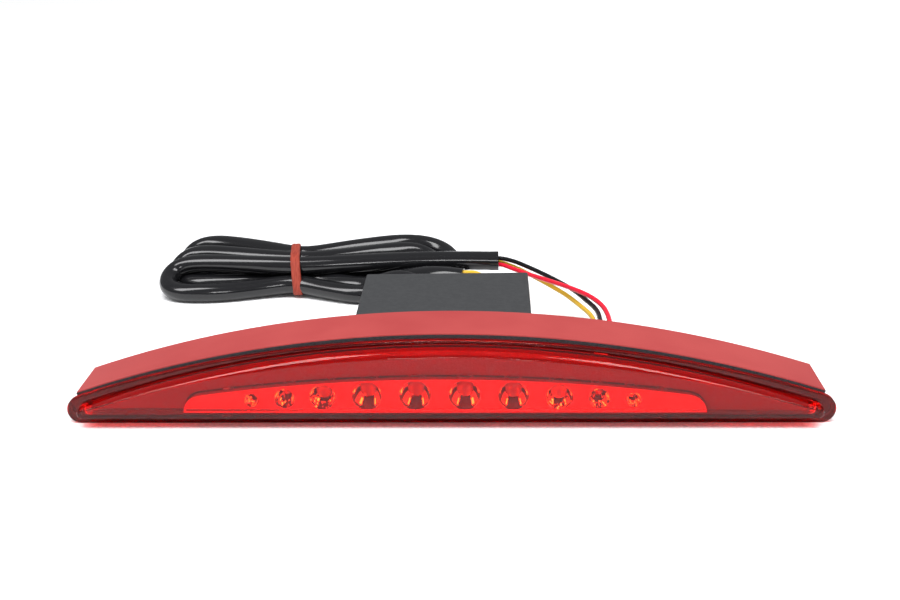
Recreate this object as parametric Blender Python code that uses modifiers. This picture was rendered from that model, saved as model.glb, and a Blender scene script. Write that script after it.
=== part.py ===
"""Crescent tail and brake lamp for the edge of a motorcycle fender.

The lamp stands on its straight lower edge with its lens facing -Y.  X runs along its length, Z is up,
and the origin is under the middle of the lamp and its rear box.  Everything is in metres.
"""
import math

import bmesh
import bpy
from mathutils import Vector

MM = 0.001
GAP = 0.3 * MM                        # room left between pieces that touch

# ---- driving dimensions -------------------------------------------------------------------
DOME_DEPTH = 5.0 * MM                 # the lens dome stands this far in front of its flange
BOX_BACK = 70.5 * MM                  # rear box's back wall, behind the flange's front face
FRONT_Y = -(BOX_BACK - DOME_DEPTH) / 2.0     # the flange's front face, so the lamp is centred

FLANGE_RADIUS = 335.0 * MM            # top edge of the lens flange is this arc
FLANGE_APEX = 25.6 * MM
FLANGE_TIP = 4.1 * MM                 # radius of the two round ends
FLANGE_THICKNESS = 2.0 * MM
ARC_CENTRE_Z = FLANGE_APEX - FLANGE_RADIUS

DOME_ROOT = dict(radius=307.0 * MM, apex=24.6 * MM, base=3.2 * MM, tip=1.5 * MM)
DOME_FRONT = dict(radius=348.0 * MM, apex=21.9 * MM, base=3.6 * MM, tip=1.2 * MM)
DOME_STRAIGHT = 1.2 * MM              # straight wall before the shoulder begins
LENS_WALL = 1.1 * MM
SHOULDER_STEPS = 6

HOUSING_RADIUS = FLANGE_RADIUS - 0.7 * MM
HOUSING_TIP = 3.9 * MM
HOUSING_WALL = 1.8 * MM
SEAL_THICKNESS = 0.7 * MM
HOUSING_FRONT = FLANGE_THICKNESS + SEAL_THICKNESS + 2.0 * GAP
HOUSING_BACK = 21.0 * MM
BACK_WALL = 2.0 * MM

TAPE_FRONT = FLANGE_THICKNESS + GAP
TAPE_HALF_WIDTH = 107.0 * MM
TAPE_RADIUS = HOUSING_RADIUS + GAP
TAPE_THICKNESS = 0.9 * MM
LINER_THICKNESS = 0.2 * MM

WINDOW = dict(radius=504.0 * MM, apex=14.9 * MM, base=4.8 * MM, half_width=74.05 * MM)
WINDOW_FRONT = -3.2 * MM              # rim of the reflector plate
WINDOW_RIM = 0.5 * MM
WINDOW_RECESS = 0.6 * MM
PLATE_BACK = -1.2 * MM
BEZEL_FRONT = -0.5 * MM
BEZEL_THICKNESS = 1.4 * MM

# distance from the middle, mouth diameter, LED size
CUPS = ((7.0, 9.0, "large"), (20.7, 8.6, "large"), (33.5, 7.6, "large"),
        (44.5, 6.0, "small"), (54.1, 4.3, "small"))
CUP_BACK = 3.6 * MM
CUP_WALL = 0.35 * MM
LEDS = {"large": dict(radius=2.4 * MM, rim=2.8 * MM, height=8.0 * MM),
        "small": dict(radius=1.4 * MM, rim=1.8 * MM, height=6.4 * MM)}
LED_RIM_THICKNESS = 1.0 * MM

BOARD_FRONT = 8.6 * MM
BOARD_THICKNESS = 1.6 * MM
BOARD = dict(radius=504.0 * MM, apex=17.6 * MM, base=3.2 * MM, half_width=70.0 * MM)
SCREW_X = 63.0 * MM
SCREW_HEIGHT = 7.0 * MM
SCREW_RADIUS = 0.8 * MM
SCREW_HEAD_RADIUS = 1.6 * MM
SCREW_LENGTH = 6.0 * MM
BOSS_RADIUS = 2.2 * MM

BOX_HALF_WIDTH = 26.75 * MM
BOX_TOP = 22.0 * MM
BOX_WALL = 1.6 * MM
BOX_FRONT = HOUSING_BACK + GAP
LID_THICKNESS = 1.6 * MM
PEG_HEIGHT = 2.6 * MM
DRIVER_SIZE = Vector((44.0, 38.0, 1.6)) * MM
DRIVER_Y = 46.0 * MM
LEAD_RADIUS = 0.6 * MM
LEAD_HEIGHT = 10.0 * MM

WIRE_RADIUS = 0.8 * MM
OUTLET = Vector((47.0, 0.0, 12.0)) * MM      # centre of the wire outlet in the back wall
OUTLET_RADIUS = 3.5 * MM
SLEEVE_RADIUS = 3.5 * MM

ARC_STEPS = 41                        # odd, so that the middle facet of each arc lies level
TIP_STEPS = 5

# routes, behind the flange's front face: X, distance back, height
WIRE_ROUTES = {
    "wire_black": ((46.9, 22.0, 12.9), (47.4, 31.0, 12.6), (48.6, 42.0, 12.1), (49.2, 53.9, 11.2),
                   (48.8, 64.0, 10.8), (46.4, 73.5, 10.6), (42.2, 85.7, 10.5), (35.3, 97.3, 11.0),
                   (28.2, 107.6, 11.4), (23.0, 114.2, 11.6), (18.5, 118.0, 11.6)),
    "wire_red": ((48.6, 22.0, 11.8), (49.6, 31.0, 11.9), (51.2, 42.0, 11.9), (51.9, 51.6, 11.9),
                 (50.9, 62.4, 12.3), (47.4, 71.6, 12.7), (41.4, 81.0, 12.6), (34.0, 94.3, 11.0),
                 (27.6, 105.0, 9.8), (22.8, 112.4, 9.3), (18.5, 117.5, 9.3)),
    "wire_yellow": ((45.4, 22.0, 11.7), (45.7, 31.0, 11.4), (46.6, 42.0, 10.7), (47.4, 56.5, 9.6),
                    (46.9, 64.5, 8.9), (45.2, 72.1, 8.4), (40.6, 86.8, 7.8), (35.2, 97.4, 8.0),
                    (28.9, 107.8, 8.4), (23.6, 115.0, 8.9), (18.5, 119.6, 9.4)),
}
SLEEVE_NEAR_END = Vector((17.2, 119.0, 10.4)) * MM
TAIL_ROUTES = {
    "tail_yellow": ((5.4, 103.3, 11.5), (9.4, 105.2, 11.0), (13.4, 105.6, 8.0), (16.0, 103.0, 3.8),
                    (16.8, 98.0, 1.0), (16.4, 91.0, 0.9)),
    "tail_red": ((5.4, 101.4, 8.6), (8.6, 101.4, 7.2), (11.2, 100.0, 3.8), (12.4, 96.4, 1.1),
                 (12.2, 91.0, 0.9), (10.6, 84.0, 0.9)),
    "tail_black": ((5.4, 103.6, 8.2), (9.4, 105.4, 6.4), (14.4, 106.8, 2.8), (19.2, 104.2, 1.0),
                   (21.6, 98.8, 0.9), (22.2, 90.6, 0.9)),
}

HANK_LOBE_RADIUS = 25.5 * MM
HANK_LEFT = Vector((-86.0, 124.0)) * MM
HANK_RIGHT = Vector((-21.0, 124.0)) * MM
HANK_HEIGHT = 14.6 * MM
BAND_X = -58.0 * MM
BAND_WIDTH = 4.6 * MM
BAND_THICKNESS = 1.0 * MM
BUNDLE_Y = 120.4 * MM
BUNDLE_HALF_WIDTH = 11.6 * MM
BUNDLE_LIFT = 1.4 * MM                # the bundle rides on the band here


# ---- scene, materials and small helpers ---------------------------------------------------
def clear_scene():
    for thing in list(bpy.data.objects):
        bpy.data.objects.remove(thing, do_unlink=True)


def new_collection(name):
    collection = bpy.data.collections.new(name)
    bpy.context.scene.collection.children.link(collection)
    return collection


def material(name, colour, roughness, metallic=0.0, alpha=1.0):
    """Principled material, made once for each name."""
    if name in bpy.data.materials:
        return bpy.data.materials[name]
    made = bpy.data.materials.new(name)
    made.use_nodes = True
    shader = made.node_tree.nodes["Principled BSDF"]
    shader.inputs["Base Color"].default_value = (*colour, 1.0)
    shader.inputs["Roughness"].default_value = roughness
    shader.inputs["Metallic"].default_value = metallic
    shader.inputs["Alpha"].default_value = alpha
    return made


def red_plastic():
    return material("red lens plastic", (0.55, 0.01, 0.01), 0.08, alpha=0.5)


def black_plastic():
    return material("black moulded plastic", (0.015, 0.015, 0.017), 0.5)


def grey_plastic():
    return material("dark grey box plastic", (0.09, 0.095, 0.1), 0.6)


def bright_metal():
    return material("bright reflector metal", (0.85, 0.85, 0.86), 0.12, metallic=1.0)


def board_laminate():
    return material("circuit board laminate", (0.02, 0.16, 0.06), 0.5)


def steel():
    return material("plated steel", (0.6, 0.6, 0.6), 0.3, metallic=1.0)


def black_rubber():
    return material("black rubber", (0.02, 0.02, 0.02), 0.75)


def add_object(name, data, collection, finish):
    made = bpy.data.objects.new(name, data)
    collection.objects.link(made)
    if finish:
        data.materials.append(finish)
    return made


def shade(mesh, sharp_angle=math.radians(30)):
    mesh.shade_smooth()
    mesh.set_sharp_from_angle(angle=sharp_angle)


# ---- outlines -----------------------------------------------------------------------------
def crescent(radius, apex, base, tip):
    """Arched outline with a straight base and fully rounded ends, as (x, z) points."""
    centre_z = apex - radius
    tip_z = base + tip
    tip_x = math.sqrt((radius - tip) ** 2 - (tip_z - centre_z) ** 2)
    return arched_outline(radius, centre_z, tip, tip_x, tip_z, math.pi)


def half_moon(radius, apex, base, half_width):
    """Arched outline whose rounded ends meet the base at right angles, as (x, z) points."""
    centre_z = apex - radius
    rise = base - centre_z
    tip = (radius ** 2 - half_width ** 2 - rise ** 2) / (2.0 * (radius - half_width))
    return arched_outline(radius, centre_z, tip, half_width - tip, base, math.pi / 2.0)


def arched_outline(radius, centre_z, tip, tip_x, tip_z, last_angle):
    """Arc over the top, then a round end on each side; angles are measured from straight up."""
    joint = math.atan2(tip_x, tip_z - centre_z)
    top = []
    for step in range(ARC_STEPS + 1):
        angle = joint * (2.0 * step / ARC_STEPS - 1.0)
        top.append((radius * math.sin(angle), centre_z + radius * math.cos(angle)))
    end = []
    for step in range(1, TIP_STEPS + 1):
        angle = joint + (last_angle - joint) * step / TIP_STEPS
        end.append((tip_x + tip * math.sin(angle), tip_z + tip * math.cos(angle)))
    return top + end + [(-x, z) for x, z in reversed(end)]


def ring(outline, back):
    """The outline stood up at a distance behind the flange's front face."""
    return [Vector((x, FRONT_Y + back, z)) for x, z in outline]


def loft(name, rings, collection, finish, joined=False):
    """Skin through rings of equal point count; capped at both ends, or joined into a loop."""
    body = bmesh.new()
    rows = [[body.verts.new(point) for point in points] for points in rings]
    count = len(rows[0])
    pairs = list(zip(rows, rows[1:]))
    if joined:
        pairs.append((rows[-1], rows[0]))
    else:
        body.faces.new(rows[0])
        body.faces.new(rows[-1])
    for first, second in pairs:
        for step in range(count):
            after = (step + 1) % count
            body.faces.new((first[step], first[after], second[after], second[step]))
    bmesh.ops.recalc_face_normals(body, faces=body.faces)
    mesh = bpy.data.meshes.new(name)
    body.to_mesh(mesh)
    body.free()
    shade(mesh)
    return add_object(name, mesh, collection, finish)


def flat_piece(name, outlines, front, thickness, collection, finish):
    """Upright plate from a filled 2D curve; the first outline is its edge, the others are holes."""
    curve = bpy.data.curves.new(name, "CURVE")
    curve.dimensions = "2D"
    curve.fill_mode = "BOTH"
    curve.extrude = thickness / 2.0
    for outline in outlines:
        spline = curve.splines.new("POLY")
        spline.points.add(len(outline) - 1)
        for point, (x, z) in zip(spline.points, outline):
            point.co = (x, z, 0.0, 1.0)
        spline.use_cyclic_u = True
    piece = add_object(name, curve, collection, finish)
    piece.rotation_euler = (math.radians(90), 0.0, 0.0)
    piece.location = (0.0, FRONT_Y + front + thickness / 2.0, 0.0)
    return piece


def circle(x, z, radius, steps=16):
    turns = [2.0 * math.pi * step / steps for step in range(steps)]
    return [(x + radius * math.cos(turn), z + radius * math.sin(turn)) for turn in turns]


def turned(name, profile, location, collection, finish, steps=20, faces_front=True):
    """Solid turned from (radius, height) points, given from its top down; its top faces -Y or +Z."""
    mesh = bpy.data.meshes.new(name)
    points = [(radius, 0.0, height) for radius, height in profile]
    edges = [(step, step + 1) for step in range(len(points) - 1)]
    if profile[0][0] > 0.0 and profile[-1][0] > 0.0:
        edges.append((len(points) - 1, 0))
    mesh.from_pydata(points, edges, [])
    piece = add_object(name, mesh, collection, finish)
    screw = piece.modifiers.new("turn", "SCREW")
    screw.axis = "Z"
    screw.steps = steps
    screw.render_steps = steps
    screw.use_merge_vertices = True
    screw.merge_threshold = 0.00001
    piece.location = location
    if faces_front:
        piece.rotation_euler = (math.radians(90), 0.0, 0.0)
    return piece


def block(name, low, high, collection, finish, bevel=0.0):
    """Box between two corners, its edges rounded when a bevel is given."""
    body = bmesh.new()
    bmesh.ops.create_cube(body, size=1.0)
    size = Vector(high) - Vector(low)
    bmesh.ops.scale(body, vec=size, verts=body.verts)
    mesh = bpy.data.meshes.new(name)
    body.to_mesh(mesh)
    body.free()
    piece = add_object(name, mesh, collection, finish)
    piece.location = (Vector(low) + Vector(high)) / 2.0
    if bevel:
        rounding = piece.modifiers.new("rounded edges", "BEVEL")
        rounding.width = bevel
        rounding.segments = 2
    return piece


def boolean(piece, other, operation):
    """Cut or join with another object, which becomes a guide that isn't built."""
    change = piece.modifiers.new(operation.lower() + " " + other.name, "BOOLEAN")
    change.operation = operation
    change.object = other
    change.solver = "EXACT"
    other.hide_render = True
    other.display_type = "WIRE"


def smooth_route(points, spacing):
    """Points read at an even spacing from a smooth curve through the given ones."""
    knots = [Vector(point) for point in points]
    first = knots[0] * 2.0 - knots[1]
    last = knots[-1] * 2.0 - knots[-2]
    knots = [first] + knots + [last]
    fine = []
    for before, start, end, after in zip(knots, knots[1:], knots[2:], knots[3:]):
        for step in range(20):
            t = step / 20.0
            fine.append(0.5 * (2.0 * start + (end - before) * t
                               + (2.0 * before - 5.0 * start + 4.0 * end - after) * t ** 2
                               + (3.0 * start - before - 3.0 * end + after) * t ** 3))
    fine.append(knots[-2])
    total = sum((b - a).length for a, b in zip(fine, fine[1:]))
    wanted = max(2, round(total / spacing))
    result = [fine[0]]
    travelled = 0.0
    for a, b in zip(fine, fine[1:]):
        travelled += (b - a).length
        if travelled >= total * len(result) / wanted - 1e-9:
            result.append(b)
    return result


def tube(name, points, radius, collection, finish, spacing=3.0):
    """Round cord or wire along a smooth route, with filled ends; spacing is in diameters."""
    curve = bpy.data.curves.new(name, "CURVE")
    curve.dimensions = "3D"
    curve.bevel_depth = radius
    curve.bevel_resolution = 2
    curve.use_fill_caps = True
    curve.resolution_u = 1
    route = smooth_route(points, spacing * 2.0 * radius)
    spline = curve.splines.new("POLY")
    spline.points.add(len(route) - 1)
    for point, place in zip(spline.points, route):
        point.co = (*place, 1.0)
    return add_object(name, curve, collection, finish)


def behind(points):
    """Route points in millimetres, measured back from the flange, as places in metres."""
    return [Vector((x * MM, FRONT_Y + back * MM, z * MM)) for x, back, z in points]


# ---- lens and its inner parts -------------------------------------------------------------
def between(first, second, share):
    return {key: first[key] + (second[key] - first[key]) * share for key in first}


def inset(shape, amount, tip):
    """The same crescent moved inwards by the amount, with its own end radius."""
    return dict(radius=shape["radius"] - amount, apex=shape["apex"] - amount,
                base=shape["base"] + amount, tip=tip)


def lens_rings():
    """Rings of the lens, from the middle of its front face round the flange to its inner face."""
    edge = 0.25 * MM
    flange = dict(radius=FLANGE_RADIUS, apex=FLANGE_APEX, base=0.0, tip=FLANGE_TIP)
    outer = [ring(crescent(**flange), FLANGE_THICKNESS),
             ring(crescent(**flange), edge),
             ring(crescent(**inset(flange, edge, FLANGE_TIP - edge)), 0.0),
             ring(crescent(**DOME_ROOT), 0.0),
             ring(crescent(**DOME_ROOT), -DOME_STRAIGHT)]
    reach = DOME_DEPTH - DOME_STRAIGHT
    for step in range(1, SHOULDER_STEPS + 1):
        angle = math.radians(90) * step / SHOULDER_STEPS
        shape = between(DOME_ROOT, DOME_FRONT, 1.0 - math.cos(angle))
        outer.append(ring(crescent(**shape), -DOME_STRAIGHT - reach * math.sin(angle)))
    inner_tip = 0.6 * MM
    mouth = inset(DOME_ROOT, LENS_WALL, inner_tip)
    floor = inset(DOME_FRONT, LENS_WALL, inner_tip)
    middle = between(mouth, floor, 0.3)
    inner = [ring(crescent(**mouth), FLANGE_THICKNESS),
             ring(crescent(**mouth), -DOME_STRAIGHT + LENS_WALL),
             ring(crescent(**middle), -DOME_STRAIGHT - 0.45 * reach),
             ring(crescent(**floor), -DOME_DEPTH + LENS_WALL)]
    return list(reversed(outer)) + inner


def make_lens(parts):
    return loft("lens", lens_rings(), parts, red_plastic())


def make_lens_seal(parts):
    """Bead that closes the joint between the lens flange and the housing's rim."""
    outer = crescent(HOUSING_RADIUS, ARC_CENTRE_Z + HOUSING_RADIUS, 0.0, HOUSING_TIP)
    inner_radius = HOUSING_RADIUS - HOUSING_WALL
    inner = crescent(inner_radius, ARC_CENTRE_Z + inner_radius, HOUSING_WALL, HOUSING_TIP - HOUSING_WALL)
    front = FLANGE_THICKNESS + GAP
    back = front + SEAL_THICKNESS
    rings = [ring(outer, front), ring(outer, back), ring(inner, back), ring(inner, front)]
    return loft("lens_seal", rings, parts, black_rubber(), joined=True)


def make_inner_bezel(parts):
    """Dark textured arch that fills the dome above and beside the reflector plate."""
    outer = crescent(**inset(DOME_ROOT, LENS_WALL + GAP, 0.6 * MM))
    opening = half_moon(WINDOW["radius"] + GAP, WINDOW["apex"] + GAP, WINDOW["base"],
                        WINDOW["half_width"] + GAP)
    right_foot = ARC_STEPS + 1 + TIP_STEPS
    arch = opening[right_foot - 1::-1] + opening[:right_foot - 1:-1]
    outline = outer[:right_foot] + arch + outer[right_foot:]
    finish = material("dark textured surround", (0.03, 0.02, 0.02), 0.7)
    return flat_piece("inner_bezel", [outline], BEZEL_FRONT, BEZEL_THICKNESS, parts, finish)


def cup_profile(mouth_radius, throat_radius, front, back, grow=0.0):
    """Parabolic bowl from its mouth down to its throat, as (radius, height) from the top down."""
    steps = 4
    profile = []
    for step in range(steps + 1):
        share = step / steps
        radius = throat_radius + (mouth_radius - throat_radius) * math.sqrt(1.0 - share)
        profile.append((radius + grow, -front - (back - front) * share))
    return profile


def cup_places():
    """(number, X, height, mouth radius, LED size) for the ten cups from left to right."""
    right = []
    for distance, mouth, size in CUPS:
        x = distance * MM
        top = WINDOW["apex"] - WINDOW["radius"] + math.sqrt(WINDOW["radius"] ** 2 - x ** 2)
        right.append((x, (WINDOW["base"] + top) / 2.0, mouth * MM / 2.0, size))
    left = [(-x, *rest) for x, *rest in reversed(right)]
    return [(number, *cup) for number, cup in enumerate(left + right, start=1)]


def make_reflector_plate(parts, guides):
    """Bright plate with a raised rim and a bowl around each LED."""
    rim = half_moon(**WINDOW)
    face = half_moon(WINDOW["radius"] - WINDOW_RIM, WINDOW["apex"] - WINDOW_RIM,
                     WINDOW["base"] + WINDOW_RIM, WINDOW["half_width"] - WINDOW_RIM)
    face_front = WINDOW_FRONT + WINDOW_RECESS
    rings = [ring(rim, PLATE_BACK), ring(rim, WINDOW_FRONT),
             ring(face, WINDOW_FRONT), ring(face, face_front)]
    plate = loft("reflector_plate", rings, parts, bright_metal())
    for number, x, height, mouth, size in cup_places():
        throat = LEDS[size]["radius"] + GAP
        wall_front = face_front + 0.4 * MM
        bowl = cup_profile(mouth, throat, wall_front, CUP_BACK, grow=CUP_WALL)
        outer = [(0.0, bowl[0][1])] + bowl + [(0.0, bowl[-1][1])]
        place = (x, FRONT_Y, height)
        boolean(plate, turned(f"cup_wall_guide_{number}", outer, place, guides, None), "UNION")
    for number, x, height, mouth, size in cup_places():
        throat = LEDS[size]["radius"] + GAP
        bowl = cup_profile(mouth, throat, face_front, CUP_BACK)
        beyond = 1.0 * MM
        inner = ([(0.0, bowl[0][1] + beyond), (bowl[0][0], bowl[0][1] + beyond)] + bowl
                 + [(bowl[-1][0], bowl[-1][1] - beyond), (0.0, bowl[-1][1] - beyond)])
        place = (x, FRONT_Y, height)
        boolean(plate, turned(f"cup_bowl_guide_{number}", inner, place, guides, None), "DIFFERENCE")
    return plate


def make_led(number, x, height, size, parts):
    """Domed LED standing on the board, its dome reaching into its cup."""
    shape = LEDS[size]
    dome = []
    for step in range(5):
        angle = math.radians(90) * step / 4
        dome.append((shape["radius"] * math.sin(angle),
                     shape["height"] - shape["radius"] * (1.0 - math.cos(angle))))
    dome[0] = (0.0, shape["height"])
    profile = dome + [(shape["radius"], LED_RIM_THICKNESS), (shape["rim"], LED_RIM_THICKNESS),
                      (shape["rim"], 0.0), (0.0, 0.0)]
    finish = material("clear red LED resin", (0.75, 0.1, 0.08), 0.1)
    place = (x, FRONT_Y + BOARD_FRONT - GAP, height)
    return turned(f"led_{number:02d}", profile, place, parts, finish, steps=12)


def make_led_board(parts):
    outline = half_moon(**BOARD)
    holes = [circle(side * SCREW_X, SCREW_HEIGHT, SCREW_RADIUS + GAP, 12) for side in (-1, 1)]
    return flat_piece("led_board", [outline] + holes, BOARD_FRONT, BOARD_THICKNESS, parts, board_laminate())


def make_board_screw(name, side, parts):
    head = 1.2 * MM
    profile = [(0.0, head), (0.7 * SCREW_HEAD_RADIUS, head), (SCREW_HEAD_RADIUS, 0.4 * head),
               (SCREW_HEAD_RADIUS, 0.0), (SCREW_RADIUS, 0.0), (SCREW_RADIUS, -SCREW_LENGTH),
               (0.0, -SCREW_LENGTH)]
    place = (side * SCREW_X, FRONT_Y + BOARD_FRONT - GAP, SCREW_HEIGHT)
    return turned(name, profile, place, parts, steel(), steps=12)


# ---- housing, tape and wire outlet --------------------------------------------------------
def make_housing(parts, guides):
    """Deep black tray behind the lens, with two screw bosses, a wire outlet and a lead slot."""
    outer = crescent(HOUSING_RADIUS, ARC_CENTRE_Z + HOUSING_RADIUS, 0.0, HOUSING_TIP)
    inner_radius = HOUSING_RADIUS - HOUSING_WALL
    inner = crescent(inner_radius, ARC_CENTRE_Z + inner_radius, HOUSING_WALL, HOUSING_TIP - HOUSING_WALL)
    rings = [ring(outer, HOUSING_BACK), ring(outer, HOUSING_FRONT), ring(inner, HOUSING_FRONT),
             ring(inner, HOUSING_BACK - BACK_WALL)]
    housing = loft("housing", rings, parts, black_plastic())
    boss_front = BOARD_FRONT + BOARD_THICKNESS + GAP
    boss_height = HOUSING_BACK - BACK_WALL / 2.0 - boss_front
    for side, name in ((-1, "left"), (1, "right")):
        place = (side * SCREW_X, FRONT_Y + boss_front, SCREW_HEIGHT)
        boss = [(0.0, 0.0), (BOSS_RADIUS, 0.0), (BOSS_RADIUS, -boss_height), (0.0, -boss_height)]
        boolean(housing, turned(f"boss_guide_{name}", boss, place, guides, None, steps=12), "UNION")
        bore = SCREW_RADIUS + GAP
        depth = SCREW_LENGTH
        hole = [(0.0, MM), (bore, MM), (bore, -depth), (0.0, -depth)]
        bored = turned(f"boss_bore_guide_{name}", hole, place, guides, None, steps=12)
        boolean(housing, bored, "DIFFERENCE")
    outlet = [(0.0, 4.0 * MM), (OUTLET_RADIUS, 4.0 * MM), (OUTLET_RADIUS, -4.0 * MM), (0.0, -4.0 * MM)]
    place = (OUTLET.x, FRONT_Y + HOUSING_BACK - BACK_WALL / 2.0, OUTLET.z)
    boolean(housing, turned("outlet_guide", outlet, place, guides, None), "DIFFERENCE")
    slot = block("housing_slot_guide", (-6.0 * MM, FRONT_Y + HOUSING_BACK - 4.0 * MM, LEAD_HEIGHT - 2.0 * MM),
                 (6.0 * MM, FRONT_Y + HOUSING_BACK + 2.0 * MM, LEAD_HEIGHT + 2.0 * MM), guides, None)
    boolean(housing, slot, "DIFFERENCE")
    return housing


def make_grommet(parts):
    """Rubber bush in the wire outlet, its collar outside the back wall."""
    neck = OUTLET_RADIUS - GAP
    hole = 2.6 * MM
    collar = 4.8 * MM
    inside = BACK_WALL + GAP
    profile = [(hole, inside), (neck, inside), (neck, -GAP), (collar, -GAP), (collar, -1.0 * MM),
               (collar - 0.6 * MM, -1.6 * MM), (hole, -1.6 * MM)]
    place = (OUTLET.x, FRONT_Y + HOUSING_BACK, OUTLET.z)
    return turned("grommet", profile, place, parts, black_rubber())


def make_arc_strip(name, radius, thickness, parts, finish):
    """Strip bent over the housing's arched top."""
    joint = math.asin(TAPE_HALF_WIDTH / radius)
    body = bmesh.new()
    rows = []
    for back in (TAPE_FRONT, HOUSING_BACK):
        row = []
        for step in range(ARC_STEPS + 1):
            angle = joint * (2.0 * step / ARC_STEPS - 1.0)
            place = (radius * math.sin(angle), FRONT_Y + back, ARC_CENTRE_Z + radius * math.cos(angle))
            row.append(body.verts.new(place))
        rows.append(row)
    for step in range(ARC_STEPS):
        body.faces.new((rows[0][step], rows[0][step + 1], rows[1][step + 1], rows[1][step]))
    mesh = bpy.data.meshes.new(name)
    body.to_mesh(mesh)
    body.free()
    strip = add_object(name, mesh, parts, finish)
    solid = strip.modifiers.new("thickness", "SOLIDIFY")
    solid.thickness = thickness
    solid.offset = 1.0
    return strip


# ---- rear box -----------------------------------------------------------------------------
def make_module_box(parts, guides):
    """Plastic box behind the housing, open underneath."""
    low = (-BOX_HALF_WIDTH, FRONT_Y + BOX_FRONT, 0.0)
    high = (BOX_HALF_WIDTH, FRONT_Y + BOX_BACK, BOX_TOP)
    box = block("module_box", low, high, parts, grey_plastic(), bevel=0.6 * MM)
    room = block("box_room_guide", (low[0] + BOX_WALL, low[1] + BOX_WALL, -MM),
                 (high[0] - BOX_WALL, high[1] - BOX_WALL, BOX_TOP - BOX_WALL), guides, None)
    boolean(box, room, "DIFFERENCE")
    slot = block("box_slot_guide", (-6.0 * MM, low[1] - MM, LEAD_HEIGHT - 2.0 * MM),
                 (6.0 * MM, low[1] + BOX_WALL + MM, LEAD_HEIGHT + 2.0 * MM), guides, None)
    boolean(box, slot, "DIFFERENCE")
    return box


def make_module_lid(parts, guides):
    """Bottom cover with four pegs that carry the driver board."""
    room = BOX_WALL + GAP
    low = (-BOX_HALF_WIDTH + room, FRONT_Y + BOX_FRONT + room, 0.0)
    high = (BOX_HALF_WIDTH - room, FRONT_Y + BOX_BACK - room, LID_THICKNESS)
    lid = block("module_lid", low, high, parts, grey_plastic())
    for side in (-1, 1):
        for end in (-1, 1):
            x = side * (DRIVER_SIZE.x / 2.0 - 3.0 * MM)
            y = FRONT_Y + DRIVER_Y + end * (DRIVER_SIZE.y / 2.0 - 3.0 * MM)
            peg = [(0.0, PEG_HEIGHT), (1.6 * MM, PEG_HEIGHT), (1.6 * MM, -0.5 * MM), (0.0, -0.5 * MM)]
            guide = turned(f"peg_guide_{side}_{end}", peg, (x, y, LID_THICKNESS), guides, None, 12, False)
            boolean(lid, guide, "UNION")
    return lid


def board_top():
    return LID_THICKNESS + PEG_HEIGHT + GAP + DRIVER_SIZE.z


def make_driver_board(parts):
    low = Vector((-DRIVER_SIZE.x / 2.0, FRONT_Y + DRIVER_Y - DRIVER_SIZE.y / 2.0, board_top() - DRIVER_SIZE.z))
    return block("driver_board", low, low + DRIVER_SIZE, parts, board_laminate())


def make_driver_parts(parts):
    """Electrolytic capacitor, regulator and three load resistors, standing on the driver board."""
    base = board_top() + GAP
    middle = FRONT_Y + DRIVER_Y
    can = 4.0 * MM
    tall = 11.0 * MM
    capacitor = [(0.0, tall), (can - 0.5 * MM, tall), (can, tall - 0.5 * MM), (can, 0.0), (0.0, 0.0)]
    turned("capacitor", capacitor, (-13.0 * MM, middle + 8.0 * MM, base), parts,
           material("capacitor sleeve", (0.02, 0.03, 0.12), 0.4), faces_front=False)
    block("regulator", (8.0 * MM, middle + 4.0 * MM, base), (18.0 * MM, middle + 8.5 * MM, base + 9.0 * MM),
          parts, black_plastic(), bevel=0.3 * MM)
    body = 1.2 * MM
    half = 3.2 * MM
    resistor = [(0.0, half), (body, half), (body, half - 1.2 * MM), (0.8 * body, half - 1.6 * MM),
                (0.8 * body, 1.6 * MM - half), (body, 1.2 * MM - half), (body, -half), (0.0, -half)]
    for number in range(3):
        place = ((4.0 + 5.0 * number) * MM, middle - 5.0 * MM, base + body)
        turned(f"resistor_{number + 1}", resistor, place, parts,
               material("resistor body", (0.5, 0.42, 0.3), 0.5), steps=12)


def make_leads(parts):
    """Two inner leads from the driver board through the walls to the LED board."""
    leads = (("lead_positive", 3.0, (0.5, 0.02, 0.02)), ("lead_negative", -3.0, (0.02, 0.02, 0.02)))
    for name, x, colour in leads:
        start = BOARD_FRONT / MM + BOARD_THICKNESS / MM + GAP / MM
        over_board = (board_top() + GAP + LEAD_RADIUS) / MM
        height = LEAD_HEIGHT / MM
        route = behind([(x, start, height), (x, 17.0, height), (x, 23.0, height), (x, 27.0, height - 1.0),
                        (x, 30.0, over_board + 0.6), (x, 33.0, over_board), (x, 36.0, over_board)])
        tube(name, route, LEAD_RADIUS, parts, material(name + " cover", colour, 0.4), spacing=2.0)


# ---- wires and sleeve ---------------------------------------------------------------------
def make_wires(parts):
    """Three wires from the outlet, which run together to the near end of the sleeve."""
    colours = {"wire_black": (0.01, 0.01, 0.01), "wire_red": (0.6, 0.01, 0.02),
               "wire_yellow": (0.75, 0.5, 0.03)}
    for name, points in WIRE_ROUTES.items():
        tube(name, behind(points), WIRE_RADIUS, parts, material(name + " cover", colours[name], 0.35))


def make_sleeve_end(parts):
    """Straight end of the sleeve, from the hank to where the wires enter it."""
    start = SLEEVE_NEAR_END + Vector((0.0, FRONT_Y, 0.0))
    hank_edge = HANK_RIGHT.x + HANK_LOBE_RADIUS + GAP
    ends = (start.x, (start.x + hank_edge) / 2.0, hank_edge)
    points = [Vector((x, start.y, start.z)) for x in ends]
    tube("sleeve_end", points, SLEEVE_RADIUS, parts, black_vinyl(), spacing=1.0)


def black_vinyl():
    return material("black vinyl sleeve", (0.01, 0.01, 0.012), 0.25)


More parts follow.
